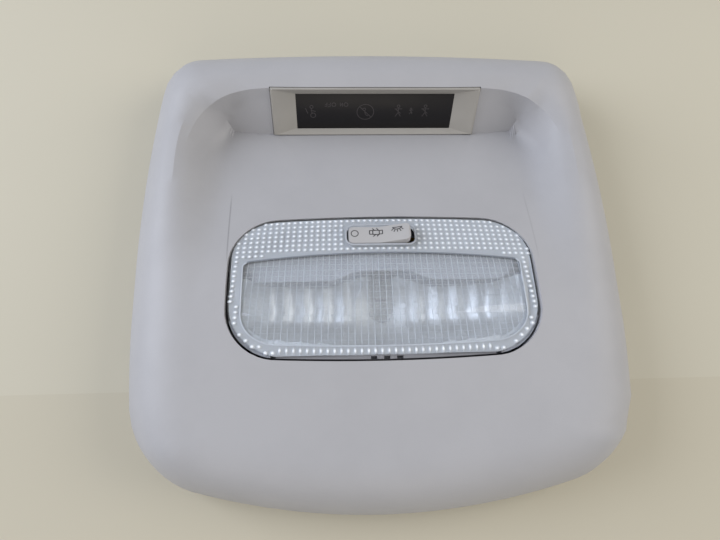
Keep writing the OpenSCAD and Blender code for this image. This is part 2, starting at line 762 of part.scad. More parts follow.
module lamp_spring(side) {
    x = opening_w / 2 - housing_gap;
    translate([0, hub[1] + spring_w / 2, 0])
    rotate([90, 0, 0])
    linear_extrude(spring_w)
    polygon([for (p = [[0, 15.6], [0.6, 15.6], [0.6, 17], [3.1, 21.6], [1.4, 23.3], [0.9, 22.9], [2.3, 21.5],
                       [0, 17.4]])
             [side * (x + p[0]), p[1]]]);
}
module lamp_spring_left() {
    color("gray")
    lamp_spring(-1);
}
module lamp_spring_right() {
    color("gray")
    lamp_spring(1);
}

// Profile about the axle in the rocker's middle position; pressing an end levels that half.
half_swing = rocker_swing / 2;
rocker_top = axle_drop + 0.2;
rocker_end = rocker_l / 2 * cos(half_swing) - rocker_top * sin(half_swing);
rocker_tip = rocker_l / 2 * sin(half_swing) + rocker_top * cos(half_swing);
module at_rest() {
    on_rocker()
    translate([0, 0, -axle_drop])
    rotate([0, -half_swing, 0])
    children();
}
module rocker_switch() {
    half = [[0, rocker_top / cos(half_swing)], [rocker_end - 0.5, rocker_tip - 0.05],
            [rocker_end, rocker_tip - 0.6], [rocker_end - 0.5, rocker_tip - 2.6], [3.4, -0.3],
            [2.6, -2.2], [0, -2.2]];
    color("seashell")
    at_rest() {
        difference() {
            intersection() {
                translate([0, rocker_w / 2, 0])
                rotate([90, 0, 0])
                linear_extrude(rocker_w)
                polygon(concat(half, [for (i = [5:-1:1]) [-half[i][0], half[i][1]]]));
                pill(rocker_end, rocker_w / 2, pill_r, -4, 8);
            }
            for (side = [-1, 1])
                block([side * 7.7 - 3.6, -rocker_w / 2 + 0.8, -3],
                      [side * 7.7 + 3.6, rocker_w / 2 - 0.8, 2.7]);
        }
        rotate([90, 0, 0])
        cylinder(r = axle_r, h = 2 * bearing_in + 1.9, center = true, $fn = 48);
    }
}

module rocker_contact() {
    color("goldenrod")
    at_rest()
    block([pad_in, -rocker_w / 2 + 1, 2.1], [pad_out + 0.2, rocker_w / 2 - 1, 2.7]);
}

console_shell();
display_bezel();
display_window();
display_light_box();
display_board();
telltale_leds();
display_connector();
display_pins();
display_screws();
lamp_lens();
lamp_housing();
reflector();
bulb_glass();
bulb_filament();
bulb_holder();
holder_contact_live();
holder_contact_earth();
strip_battery();
strip_door();
strip_earth();
lamp_spring_left();
lamp_spring_right();
rocker_switch();
rocker_contact();
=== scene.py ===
import math

import bpy
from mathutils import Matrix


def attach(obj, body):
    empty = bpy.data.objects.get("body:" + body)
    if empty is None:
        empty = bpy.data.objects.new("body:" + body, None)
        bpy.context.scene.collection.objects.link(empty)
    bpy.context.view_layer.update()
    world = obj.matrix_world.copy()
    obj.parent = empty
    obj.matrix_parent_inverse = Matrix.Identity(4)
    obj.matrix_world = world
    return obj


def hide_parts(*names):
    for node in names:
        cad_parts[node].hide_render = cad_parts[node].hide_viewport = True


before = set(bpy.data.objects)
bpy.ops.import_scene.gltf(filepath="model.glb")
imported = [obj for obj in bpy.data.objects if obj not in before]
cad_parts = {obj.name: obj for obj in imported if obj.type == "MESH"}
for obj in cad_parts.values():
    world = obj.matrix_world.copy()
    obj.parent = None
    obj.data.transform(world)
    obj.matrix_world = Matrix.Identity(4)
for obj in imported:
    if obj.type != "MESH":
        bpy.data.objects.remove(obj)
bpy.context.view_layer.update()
mm = 0.001


def srgb(code):
    # a hex colour as read off a swatch, turned to the linear values Blender wants
    parts = [int(code[i:i + 2], 16) / 255 for i in (1, 3, 5)]
    return [p / 12.92 if p <= 0.04045 else ((p + 0.055) / 1.055) ** 2.4 for p in parts] + [1]


cameraSetup = {
    "place": (-0.01994, -0.06368, 0.23949),   # metres, above the lamp and a little to the rear
    "turn": (15.21, -2.55, -1.65),
    "lens": 27.6,
}
bpy.ops.object.camera_add(location=cameraSetup["place"],
                          rotation=[math.radians(a) for a in cameraSetup["turn"]])
camera = bpy.context.object
camera.data.lens = cameraSetup["lens"]
camera.data.sensor_width = 36
camera.data.clip_start = 0.01
bpy.context.scene.camera = camera
print("camera set")


# small helpers, the same few steps as by hand
def deselectAll():
    for item in bpy.context.selected_objects:
        item.select_set(False)


def pick(*items):
    deselectAll()
    for item in items:
        item.select_set(True)
    bpy.context.view_layer.objects.active = items[0]


def applyModifier(kind, **settings):
    item = bpy.context.object
    bpy.ops.object.modifier_add(type=kind)
    modifier = item.modifiers[-1]
    for key, value in settings.items():
        setattr(modifier, key, value)
    bpy.ops.object.modifier_apply(modifier=modifier.name)


def placeInMesh():
    bpy.ops.object.transform_apply(location=True, rotation=True, scale=True)


def selectFaces(item, test):
    # selects the faces whose centre and normal pass the test, and leaves edit mode on
    bpy.ops.object.mode_set(mode="EDIT")
    bpy.ops.mesh.select_all(action="DESELECT")
    bpy.ops.mesh.select_mode(type="FACE")
    bpy.ops.object.mode_set(mode="OBJECT")
    for face in item.data.polygons:
        face.select = bool(test(face.center, face.normal))
    bpy.ops.object.mode_set(mode="EDIT")


def join(items, name):
    pick(*items)
    if len(items) > 1:
        bpy.ops.object.join()
    bpy.context.object.name = name
    return bpy.context.object


def addNode(tree, kind, settings=None, links=None, stops=None):
    # settings fill sockets or properties, links join a socket of this node to an output,
    # stops are the positions and colours of a ramp
    node = tree.nodes.new(kind)
    for key, value in (settings or {}).items():
        if isinstance(key, int) or key in node.inputs:
            node.inputs[key].default_value = value
        else:
            setattr(node, key, value)
    for key, output in (links or {}).items():
        tree.links.new(output, node.inputs[key])
    for i, (position, colour) in enumerate(stops or []):
        stop = node.color_ramp.elements[i] if i < 2 else node.color_ramp.elements.new(position)
        stop.position, stop.color = position, colour
    return node


def newMaterial(name):
    material = bpy.data.materials.new(name)
    material.use_nodes = True
    tree = material.node_tree
    tree.nodes.clear()
    place = addNode(tree, "ShaderNodeTexCoord").outputs["Object"]
    finish = addNode(tree, "ShaderNodeBsdfPrincipled")
    output = addNode(tree, "ShaderNodeOutputMaterial", links={"Surface": finish.outputs[0]})
    return material, tree, place, finish, output


def grey(value):
    return (value, value, value, 1)


def shade(code, factor):
    return [c * factor for c in srgb(code)[:3]] + [1]


def grainedPlastic(name, code, darker, grain=0.75, depth=0.05, roughness=(0.46, 0.58), creaseShade=None):
    # polypropylene moulded in an etched tool: matte, with a fine leather grain and slight handling marks;
    # the real grain is about 0.4 mm, drawn coarser so that it shows
    material, tree, place, finish, output = newMaterial(name)
    cells = addNode(tree, "ShaderNodeTexVoronoi", {"Scale": 1 / (grain * mm), "feature": "SMOOTH_F1",
                                                   "Smoothness": 0.6}, {"Vector": place})
    fine = addNode(tree, "ShaderNodeTexNoise", {"Scale": 1 / (0.35 * mm), "Detail": 3}, {"Vector": place})
    marks = addNode(tree, "ShaderNodeTexNoise", {"Scale": 1 / (38 * mm), "Detail": 4,
                                                 "Roughness": 0.6}, {"Vector": place})
    tone = addNode(tree, "ShaderNodeValToRGB", links={"Fac": marks.outputs["Fac"]},
                   stops=[(0.3, srgb(darker)), (0.6, srgb(code))]).outputs["Color"]
    if creaseShade:
        # painted shade: thin darker lines along the creases where the scoop's floor meets its sides, either
        # side of the lamp
        axes = addNode(tree, "ShaderNodeSeparateXYZ", links={"Vector": place})
        for x, strength in creaseShade["lines"]:
            across = addNode(tree, "ShaderNodeMath", {"operation": "SUBTRACT", 1: x * mm},
                             {0: axes.outputs["X"]})
            lean = addNode(tree, "ShaderNodeMath", {"operation": "MULTIPLY_ADD", 1: creaseShade["lean"]},
                           {0: axes.outputs["Y"], 2: across.outputs[0]})
            near = addNode(tree, "ShaderNodeMath", {"operation": "ABSOLUTE"}, {0: lean.outputs[0]})
            line = addNode(tree, "ShaderNodeMapRange", {"From Min": 0, "From Max": creaseShade["width"] * mm,
                                                        "To Min": strength, "To Max": 0},
                           {"Value": near.outputs[0]})
            along = addNode(tree, "ShaderNodeMath", {"operation": "SUBTRACT", 1: creaseShade["middle"] * mm},
                            {0: axes.outputs["Y"]})
            length = addNode(tree, "ShaderNodeMath", {"operation": "ABSOLUTE"}, {0: along.outputs[0]})
            fade = addNode(tree, "ShaderNodeMapRange", {"From Min": creaseShade["half"] * 0.6 * mm,
                                                        "From Max": creaseShade["half"] * mm,
                                                        "To Min": 1, "To Max": 0},
                           {"Value": length.outputs[0]})
            share = addNode(tree, "ShaderNodeMath", {"operation": "MULTIPLY"},
                            {0: line.outputs[0], 1: fade.outputs[0]})
            tone = addNode(tree, "ShaderNodeMixRGB", {"blend_type": "MULTIPLY", "Color2": grey(0.3)},
                           {"Fac": share.outputs[0], "Color1": tone}).outputs[0]
    tree.links.new(tone, finish.inputs["Base Color"])
    polish = addNode(tree, "ShaderNodeValToRGB", links={"Fac": marks.outputs["Fac"]},
                     stops=[(0.35, grey(roughness[1])), (0.62, grey(roughness[0]))])
    tree.links.new(polish.outputs["Color"], finish.inputs["Roughness"])
    relief = addNode(tree, "ShaderNodeMath", {"operation": "ADD"},
                     {0: cells.outputs["Distance"], 1: fine.outputs["Fac"]})
    bump = addNode(tree, "ShaderNodeBump", {"Strength": 0.35, "Distance": depth * mm},
                   {"Height": relief.outputs[0]})
    tree.links.new(bump.outputs[0], finish.inputs["Normal"])
    finish.inputs["IOR"].default_value = 1.49
    return material


def plainPlastic(name, code, roughness=0.4, mottle=0.04, gloss=0.5):
    # smooth-tooled ABS or nylon: even colour, soft sheen, faint flow marks
    material, tree, place, finish, output = newMaterial(name)
    flow = addNode(tree, "ShaderNodeTexNoise", {"Scale": 1 / (9 * mm), "Detail": 3}, {"Vector": place})
    tone = addNode(tree, "ShaderNodeValToRGB", links={"Fac": flow.outputs["Fac"]},
                   stops=[(0.3, shade(code, 1 - mottle)), (0.7, srgb(code))])
    polish = addNode(tree, "ShaderNodeValToRGB", links={"Fac": flow.outputs["Fac"]},
                     stops=[(0.3, grey(roughness + 0.06)), (0.7, grey(roughness))])
    tree.links.new(tone.outputs["Color"], finish.inputs["Base Color"])
    tree.links.new(polish.outputs["Color"], finish.inputs["Roughness"])
    finish.inputs["IOR"].default_value = 1.53
    finish.inputs["Specular IOR Level"].default_value = gloss
    return material


def plainMetal(name, code, roughness=0.25, streak=1.2):
    # rolled or plated metal: coloured reflection, drawn streaks that vary its polish
    material, tree, place, finish, output = newMaterial(name)
    drawn = addNode(tree, "ShaderNodeMapping", {"Scale": (1, 6, 1)}, {"Vector": place})
    streaks = addNode(tree, "ShaderNodeTexNoise", {"Scale": 1 / (streak * mm), "Detail": 4},
                      {"Vector": drawn.outputs[0]})
    polish = addNode(tree, "ShaderNodeValToRGB", links={"Fac": streaks.outputs["Fac"]},
                     stops=[(0.3, grey(roughness + 0.1)), (0.7, grey(roughness))])
    tone = addNode(tree, "ShaderNodeValToRGB", links={"Fac": streaks.outputs["Fac"]},
                   stops=[(0.25, shade(code, 0.86)), (0.7, srgb(code))])
    tree.links.new(polish.outputs["Color"], finish.inputs["Roughness"])
    tree.links.new(tone.outputs["Color"], finish.inputs["Base Color"])
    finish.inputs["Metallic"].default_value = 1
    return material


def clearAcrylic(name, code, roughness=0.02, clearness=1.0):
    # clear moulded acrylic: water-clear body, polished faces; lamps shine through it
    material, tree, place, finish, output = newMaterial(name)
    finish.inputs["Base Color"].default_value = srgb(code)
    finish.inputs["IOR"].default_value = 1.49
    finish.inputs["Transmission Weight"].default_value = clearness
    wipe = addNode(tree, "ShaderNodeTexNoise", {"Scale": 1 / (14 * mm), "Detail": 5}, {"Vector": place})
    polish = addNode(tree, "ShaderNodeValToRGB", links={"Fac": wipe.outputs["Fac"]},
                     stops=[(0.4, grey(roughness)), (0.75, grey(roughness + 0.05))])
    tree.links.new(polish.outputs["Color"], finish.inputs["Roughness"])
    path = addNode(tree, "ShaderNodeLightPath")
    clear = addNode(tree, "ShaderNodeBsdfTransparent", {"Color": grey(0.96)})
    both = addNode(tree, "ShaderNodeMixShader", links={"Fac": path.outputs["Is Shadow Ray"],
                                                       1: finish.outputs[0], 2: clear.outputs[0]})
    tree.links.new(both.outputs[0], output.inputs["Surface"])
    return material


# polypropylene, etched tool: matte grey with a fine grain, and painted shade along two floor creases
shellPlastic = grainedPlastic("grainedPolypropyleneGrey", "#B0B0B3", "#ABABAE", roughness=(0.49, 0.55),
                              creaseShade={"lines": ((-60.8, 0.5), (62.4, 0.2)), "lean": 0.012, "width": 0.4,
                                        "middle": 12, "half": 17})
# the same plastic with a finer grain, a little warmer than the shell
bezelPlastic = grainedPlastic("fineGrainedPolypropyleneGrey", "#A9A6A0", "#A19E98", grain=0.5, depth=0.03)
# the lamp's tray, smooth and dull; its rim takes painted shade: charcoal in the gap round the lens and slate
# in the rear slot
housingPlastic = plainPlastic("mouldedPolypropyleneGrey", "#9DA1A9", 0.5)
gapShadePlastic = plainPlastic("mouldedPolypropylenePaintedGapShade", "#4A4A4D", 0.55)
slotShadePlastic = plainPlastic("mouldedPolypropylenePaintedSlotShade", "#8C8C90", 0.55)
rockerPlastic = plainPlastic("mouldedAbsOffWhite", "#B6B5B5", 0.34, 0.02)   # satin, even
iconInk = plainPlastic("padPrintedInkDark", "#2E2C2E", 0.5)   # flat, nearly black
whitePlastic = plainPlastic("mouldedPbtWhite", "#D9D9D6", 0.45)   # dense, china-like white
nylonPlastic = plainPlastic("mouldedNylonNatural", "#D8D3C4", 0.42)   # creamy, slightly waxy
boardLacquer = plainPlastic("solderMaskGreen", "#1F5A36", 0.3, 0.12)   # glossy, cloudy green
ledPlastic = plainPlastic("ledPackageIvory", "#D8CFA6", 0.35)   # pale yellow
smokedWindow = plainPlastic("smokedAcrylicSheet", "#171517", 0.34, 0.05, gloss=0.28)   # near black
faintIcon = plainPlastic("smokedAcrylicIcon", "#3A3638", 0.35)   # one shade lighter than the window
# evaporated aluminium on plastic: soft bright streaks; its darker copy is painted shadow under the shield
reflectorMetal = plainMetal("vacuumMetallisedAluminium", "#F0F3F6", 0.4, 6)
shieldShadowMetal = plainMetal("vacuumMetallisedAluminiumPaintedShadow", "#9297A0", 0.5, 6)
brassMetal = plainMetal("rolledBrass", "#A98F52", 0.38)   # dull yellow strip
steelMetal = plainMetal("springSteel", "#8F9194", 0.32)   # grey, drawn
platedMetal = plainMetal("zincPlatedSteel", "#A9ACB0", 0.3)   # bluish, bright
tinMetal = plainMetal("tinnedCopper", "#B8B7B3", 0.3)   # pale, soft shine
filamentMetal = plainMetal("tungstenWire", "#5C5A58", 0.4, 0.4)   # dark grey wire
clearLens = clearAcrylic("clearMouldedAcrylic", "#F7F9FB")   # water-clear, polished
pillowLens = clearAcrylic("clearPillowAcrylic", "#EDF0F3", 0.14, clearness=0.85)   # slightly milky
# the lens's small optics, drawn as solid tones, since real refraction this fine would not show; the white
# dome caps are painted highlights
grooveLens = plainPlastic("frostedGrooveAcrylic", "#BFC5CC", 0.4, 0.02)
prismHighlight = plainPlastic("mouldedPrismAcrylicPaintedHighlight", "#F8FBFF", 0.2, 0.02)
prismSkirt = plainPlastic("mouldedPrismAcrylicPale", "#C2C7CD", 0.3, 0.03)
prismBase = plainPlastic("mouldedPrismAcrylicGrey", "#ADB2B8", 0.3, 0.04)
frostLens = plainPlastic("frostedAcrylicRim", "#B3B8C0", 0.25, 0.03)
borderLens = plainPlastic("mouldedBorderAcrylicGrey", "#7C8189", 0.3, 0.04)
bulbGlass = clearAcrylic("clearLampGlass", "#F4F4F2", 0.01)   # thin, bright-edged
print("materials made")


def cadPiece(node, name, material, body="console", bevel=0.0, smooth=35):
    # a merged copy of a CAD node with eased edges and smooth faces stands for the node
    piece = bpy.data.objects.new(name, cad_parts[node].data.copy())
    bpy.context.scene.collection.objects.link(piece)
    piece.data.materials.clear()
    piece.data.materials.append(material)
    pick(piece)
    bpy.ops.mesh.customdata_custom_splitnormals_clear()
    bpy.ops.object.mode_set(mode="EDIT")
    bpy.ops.mesh.select_all(action="SELECT")
    bpy.ops.mesh.remove_doubles(threshold=0.00001)
    bpy.ops.object.mode_set(mode="OBJECT")
    if bevel:
        applyModifier("BEVEL", width=bevel * mm, segments=3, limit_method="ANGLE",
                      angle_limit=math.radians(50), use_clamp_overlap=True)
    bpy.ops.object.shade_smooth_by_angle(angle=math.radians(smooth))
    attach(piece, body)
    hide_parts(node)
    return piece


def cutWith(piece, tool, operation="DIFFERENCE"):
    pick(piece)
    applyModifier("BOOLEAN", operation=operation, object=tool, solver="EXACT")
    bpy.data.objects.remove(tool)


# the rolled sides are smoothed a little where the loft's rings meet, mm and times
rollSmoothing = {"from": 68, "half": 70, "above": 22, "factor": 0.5, "repeat": 4}
shell = cadPiece("console_shell", "shellMoulding", shellPlastic, smooth=40)
bpy.ops.object.mode_set(mode="EDIT")
bpy.ops.mesh.select_mode(type="VERT")
bpy.ops.mesh.select_all(action="DESELECT")
bpy.ops.object.mode_set(mode="OBJECT")
for corner in shell.data.vertices:
    x, y, z = [c / mm for c in corner.co]
    corner.select = abs(x) > rollSmoothing["from"] and abs(y) < rollSmoothing["half"] \
        and z > rollSmoothing["above"]
bpy.ops.object.mode_set(mode="EDIT")
bpy.ops.mesh.vertices_smooth(factor=rollSmoothing["factor"], repeat=rollSmoothing["repeat"])
bpy.ops.object.mode_set(mode="OBJECT")
cadPiece("display_bezel", "bezelFrame", bezelPlastic, bevel=0.25)
cadPiece("display_window", "windowPane", smokedWindow, bevel=0.15)
lens = cadPiece("lamp_lens", "lensSlab", clearLens, bevel=0.3)
housing = cadPiece("lamp_housing", "housingBody", housingPlastic)
cadPiece("bulb_glass", "bulbEnvelope", bulbGlass, smooth=50)
cadPiece("rocker_switch", "rockerKey", rockerPlastic, body="rocker", bevel=0.5, smooth=40)
print("CAD copies dressed")

cadFinishes = {
    "display_light_box": whitePlastic, "display_board": boardLacquer, "telltale_leds": ledPlastic,
    "display_connector": nylonPlastic, "display_pins": tinMetal, "display_screws": platedMetal,
    "bulb_filament": filamentMetal, "bulb_holder": whitePlastic, "holder_contact_live": brassMetal,
    "holder_contact_earth": brassMetal, "strip_battery": brassMetal, "strip_door": brassMetal,
    "strip_earth": brassMetal, "lamp_spring_left": steelMetal, "lamp_spring_right": steelMetal,
    "rocker_contact": brassMetal,
}
for node, finish in cadFinishes.items():
    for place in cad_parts[node].material_slots:
        place.material = finish

# the opening's shape in the console, in mm; the lens follows it
openingShape = {"middle": -13.4, "halfWidth": 60.5, "halfLength": 29.8, "radius": 18,
                "slot": 1.5, "slotHalf": 43.5}


# the console's floor along its length, in mm: level, then an arch, then a slope down to the wall
consoleFloor = {"top": 36, "archFrom": -43.2, "archRadius": 200,
                "slopeFrom": 17.8, "slopeTop": 26.7, "slope": 0.305}


def floorHeight(y):
    # height of the console's floor at a length y, in mm
    f = consoleFloor
    if y < f["archFrom"]:
        return f["top"]
    if y < f["slopeFrom"]:
        return f["top"] - (y - f["archFrom"]) ** 2 / (2 * f["archRadius"])
    return f["slopeTop"] - f["slope"] * (y - f["slopeFrom"])


def roundedInset(x, y, halfWidth, low, high, lowRadius, highRadius):
    # distance inside a rounded rectangle, in mm, with one radius for each end
    radius = lowRadius if y < (low + high) / 2 else highRadius
    dx = abs(x) - (halfWidth - radius)
    dy = abs(y - (low + high) / 2) - ((high - low) / 2 - radius)
    if dx > 0 and dy > 0:
        return radius - math.hypot(dx, dy)
    return radius - max(dx, dy)


def openingInset(x, y):
    middle, half = openingShape["middle"], openingShape["halfLength"]
    return roundedInset(x, y, openingShape["halfWidth"], middle - half, middle + half,
                        openingShape["radius"], openingShape["radius"])


def layOnArch(piece, height):
    # raises a flat piece onto the lens's arch, height in mm above the console's floor
    for corner in piece.data.vertices:
        corner.co.z += (floorHeight(corner.co.y / mm) + height) * mm


def addSlot(piece, material):
    piece.data.materials.append(material)
    return len(piece.data.materials) - 1


# painted shade: the housing's rim shows only round the lens, and is drawn dark where the gap shades it and
# lighter in the shaded rear slot; it keeps its own grey where the lens's rounder rear corners leave it bare
gapShadeSetup = {"width": 3.2, "above": 20, "slotRear": -40, "cornerRear": -27, "cornerHalf": 44}
gapShadeSlot = addSlot(housing, gapShadePlastic)
slotShadeSlot = addSlot(housing, slotShadePlastic)
for face in housing.data.polygons:
    x, y, z = [c / mm for c in face.center]
    if openingInset(x, y) < gapShadeSetup["width"] and z > gapShadeSetup["above"]:
        if y > gapShadeSetup["cornerRear"] or abs(x) < gapShadeSetup["cornerHalf"]:
            face.material_index = gapShadeSlot if y > gapShadeSetup["slotRear"] else slotShadeSlot
# the shield over the bulb stops short of the lamp's ends, cut off on a slant
shieldCut = {"place": (54.2, -7.9, 28), "slant": -27.7, "size": (4, 11, 9)}
for side in (-1, 1):
    deselectAll()
    x, y, z = shieldCut["place"]
    bpy.ops.mesh.primitive_cube_add(size=1, location=(side * x * mm, y * mm, z * mm),
                                    rotation=(0, 0, math.radians(side * shieldCut["slant"])))
    cutter = bpy.context.object
    cutter.scale = [c * mm for c in shieldCut["size"]]
    placeInMesh()
    cutWith(housing, cutter)
print("housing rim and shield made")


def outlineSheet(name, halfWidth, low, high, lowRadius, highRadius, lowBow=0.0, highBow=0.0, step=2.0):
    # a flat sheet with rounded corners and bowed long edges, sizes in mm
    deselectAll()
    bpy.ops.mesh.primitive_plane_add(size=1, location=(0, (low + high) / 2 * mm, 0))
    sheet = bpy.context.object
    sheet.name = name
    sheet.scale = (2 * halfWidth * mm, (high - low) * mm, 1)
    placeInMesh()
    for radius, isLow in ((lowRadius, True), (highRadius, False)):
        bpy.ops.object.mode_set(mode="EDIT")
        bpy.ops.mesh.select_mode(type="VERT")
        bpy.ops.mesh.select_all(action="DESELECT")
        bpy.ops.object.mode_set(mode="OBJECT")
        lengths = [v.co.y for v in sheet.data.vertices]
        edge = min(lengths) if isLow else max(lengths)
        for corner in sheet.data.vertices:
            corner.select = abs(corner.co.y - edge) < 0.0001
        bpy.ops.object.mode_set(mode="EDIT")
        bpy.ops.mesh.bevel(offset=radius * mm, offset_type="OFFSET",
                           segments=14, affect="VERTICES", profile=0.5)
        bpy.ops.object.mode_set(mode="OBJECT")
    # the long edges are divided so that they can bow
    for corner in sheet.data.vertices:
        corner.select = False
    for edge in sheet.data.edges:
        a, b = [sheet.data.vertices[i].co for i in edge.vertices]
        edge.select = (a - b).length > 4 * step * mm
    bpy.ops.object.mode_set(mode="EDIT")
    bpy.ops.mesh.select_mode(type="EDGE")
    bpy.ops.mesh.subdivide(number_cuts=40)
    bpy.ops.object.mode_set(mode="OBJECT")
    middle = (low + high) / 2
    for corner in sheet.data.vertices:
        x, y = corner.co.x / mm, corner.co.y / mm
        bow = highBow if y > middle else lowBow
        reach = min(1, abs(y - middle) / ((high - low) / 2))
        corner.co.y += bow * (x / halfWidth) ** 2 * reach ** 2 * mm
    return sheet


def thicken(piece, up, down):
    # turns a flat sheet into a slab from -down to +up, in mm
    pick(piece)
    bpy.ops.object.mode_set(mode="EDIT")
    bpy.ops.mesh.select_all(action="SELECT")
    bpy.ops.mesh.extrude_region_move(TRANSFORM_OT_translate={"value": (0, 0, (up + down) * mm)})
    bpy.ops.mesh.select_all(action="SELECT")
    bpy.ops.transform.translate(value=(0, 0, -down * mm))
    bpy.ops.mesh.normals_make_consistent(inside=False)
    bpy.ops.object.mode_set(mode="OBJECT")


# the lens: prism band round the edge, pillow optics in the window, a ridge between them
lensSetup = {
    "pitch": (2.402, 2.1), "phase": 0.3, "frontRow": 14.5, "fan": 0.0014, "stretch": 0.00085, "rowBow": 2.2,
    "dome": (0.95, 0.82, 0.42), "longDome": (0.62, 1.15, 0.42), "longRow": -37.1,
    "outline": (59.3, -42.5, 15.7, 21, 17.3, 2.4),   # half width, rear, front, their radii, bow
    "windowHalf": 54.6, "windowLow": -37.6, "windowHigh": -0.2, "windowBow": (2.0, -3.6),
    "windowRadii": (13, 3), "pillow": (2.402, 2.2), "groove": (0.11, 0.055), "pillowRise": 0.1,
    "rockerPill": (-0.2, 7.5, 14.3, 4.85, 3.3),   # middle, half length, half width, radius
    "longRowEnds": (41, -37),   # half width of the row of long prisms, and its front edge
    "prismClear": (0.8, 1.5, 0.75),   # kept free at the lens's edge, the window and the rocker
    "longClear": 1.2,
    "bandDepth": 1.2, "pillowDepth": 1.9, "ridgeDepth": 1.1,   # below the console's floor
}
windowArgs = (lensSetup["windowHalf"], lensSetup["windowLow"], lensSetup["windowHigh"]) \
    + lensSetup["windowRadii"] + lensSetup["windowBow"]


def windowInset(x, y):
    half, low, high = lensSetup["windowHalf"], lensSetup["windowLow"], lensSetup["windowHigh"]
    lowBow, highBow = lensSetup["windowBow"]
    middle = (low + high) / 2
    reach = min(1, abs(y - middle) / (high - middle))
    bow = (highBow if y > middle else lowBow) * (x / half) ** 2 * reach ** 2
    return roundedInset(x, y - bow, half, low, high, *lensSetup["windowRadii"])


def pillInset(x, y):
    px, py, halfLong, halfWide, radius = lensSetup["rockerPill"]
    return roundedInset(x - px, y, halfLong, py - halfWide, py + halfWide, radius, radius)


def lensInset(x, y):
    # distance inside the lens's outline; between the slot's ends its rear edge stands further back
    half, rear, front, rearRadius, frontRadius, bow = lensSetup["outline"]
    middle = (rear + front) / 2
    bend = (bow if y < middle else -bow) * (x / half) ** 2 * min(1, abs(y - middle) / (front - middle)) ** 2
    edge = roundedInset(x, y - bend, half, rear, front, rearRadius, frontRadius)
    if abs(x) < openingShape["slotHalf"] and y < middle:
        edge = min(edge, y - rear - openingShape["slot"])
    return edge


def fanOut(x, y):
    # the lens's whole pattern opens a little towards the rear and its rows bow with the edges, in mm
    middle = openingShape["middle"]
    bow = lensSetup["rowBow"] * (x / 57) ** 2 * (y - middle) / (lensSetup["frontRow"] - middle)
    return (x * (1 - lensSetup["fan"] * y),
            y - lensSetup["stretch"] * (lensSetup["frontRow"] - y) ** 2 - bow)


def fanPiece(piece):
    for corner in piece.data.vertices:
        x, y = fanOut(corner.co.x / mm, corner.co.y / mm)
        corner.co.x, corner.co.y = x * mm, y * mm


def prismAllowed(x, y):
    half, front = lensSetup["longRowEnds"]
    edge, window, pill = lensSetup["prismClear"]
    return (abs(x) > half or y > front) and lensInset(x, y) > edge and windowInset(x, y) < -window \
        and pillInset(x, y) < -pill


def longAllowed(x, y):
    return abs(x) < lensSetup["longRowEnds"][0] and windowInset(x, y) < -lensSetup["longClear"]


def makeDomes(size, rear, rows, allowed):
    # a grid of low domes, size as half widths and height in mm, those not allowed taken away
    pitchX, pitchY = lensSetup["pitch"]
    columns = 50
    left = (lensSetup["phase"] - 25) * pitchX
    deselectAll()
    bpy.ops.mesh.primitive_uv_sphere_add(segments=10, ring_count=6, radius=size[0] * mm,
                                         location=(left * mm, rear * mm, 0))
    domes = bpy.context.object
    domes.scale = (1, size[1] / size[0], size[2] / size[0])
    placeInMesh()
    bpy.ops.object.mode_set(mode="EDIT")
    bpy.ops.mesh.select_all(action="SELECT")
    bpy.ops.mesh.bisect(plane_co=(0, 0, 0), plane_no=(0, 0, 1), clear_inner=True)
    bpy.ops.object.mode_set(mode="OBJECT")
    domes.data.materials.append(prismHighlight)
    domes.data.materials.append(prismSkirt)
    # painted highlight: each dome's top faces take the white tone, its lower faces the skirt tone
    for face in domes.data.polygons:
        face.material_index = 0 if face.center.z > size[2] * 0.86 * mm else 1
    applyModifier("ARRAY", count=columns, use_relative_offset=False, use_constant_offset=True,
                  constant_offset_displace=(pitchX * mm, 0, 0))
    applyModifier("ARRAY", count=rows, use_relative_offset=False, use_constant_offset=True,
                  constant_offset_displace=(0, pitchY * mm, 0))

    def outside(centre, normal):
        x = left + round((centre.x / mm - left) / pitchX) * pitchX
        y = rear + round((centre.y / mm - rear) / pitchY) * pitchY
        return not allowed(*fanOut(x, y))

    selectFaces(domes, outside)
    bpy.ops.mesh.delete(type="FACE")
    bpy.ops.object.mode_set(mode="OBJECT")
    bpy.ops.object.shade_smooth()
    fanPiece(domes)
    layOnArch(domes, -lensSetup["bandDepth"])
    return domes


def makePrismBand():
    rows = 26
    rear = lensSetup["frontRow"] - (rows - 1) * lensSetup["pitch"][1]
    domes = makeDomes(lensSetup["dome"], rear, rows, prismAllowed)
    longDomes = makeDomes(lensSetup["longDome"], lensSetup["longRow"], 1, longAllowed)
    # the sheet that carries them
    half, low, high, lowRadius, highRadius, bow = lensSetup["outline"]
    base = outlineSheet("prismSheet", half - 0.35, low + 0.35, high - 0.35, lowRadius, highRadius, bow, -bow)
    thicken(base, 0, 0.4)
    deselectAll()
    slotEdge = low + openingShape["slot"] + 0.35
    bpy.ops.mesh.primitive_cube_add(size=1, location=(0, (slotEdge - 3) * mm, 0))
    notch = bpy.context.object
    notch.scale = (2 * (openingShape["slotHalf"] + 0.4) * mm, 6 * mm, 6 * mm)
    placeInMesh()
    cutWith(base, notch)
    hole = outlineSheet("windowHole", *windowArgs)
    thicken(hole, 3, 3)
    cutWith(base, hole)
    px, py, halfLong, halfWide, radius = lensSetup["rockerPill"]
    pill = outlineSheet("pillHole", halfLong - 0.5, py - halfWide + 0.5, py + halfWide - 0.5,
                        radius - 0.5, radius - 0.5)
    pill.location.x = px * mm
    pick(pill)
    placeInMesh()
    thicken(pill, 3, 3)
    cutWith(base, pill)
    base.data.materials.append(prismBase)
    layOnArch(base, -lensSetup["bandDepth"])
    band = join([domes, longDomes, base], "prismBand")
    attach(band, "console")
    return band


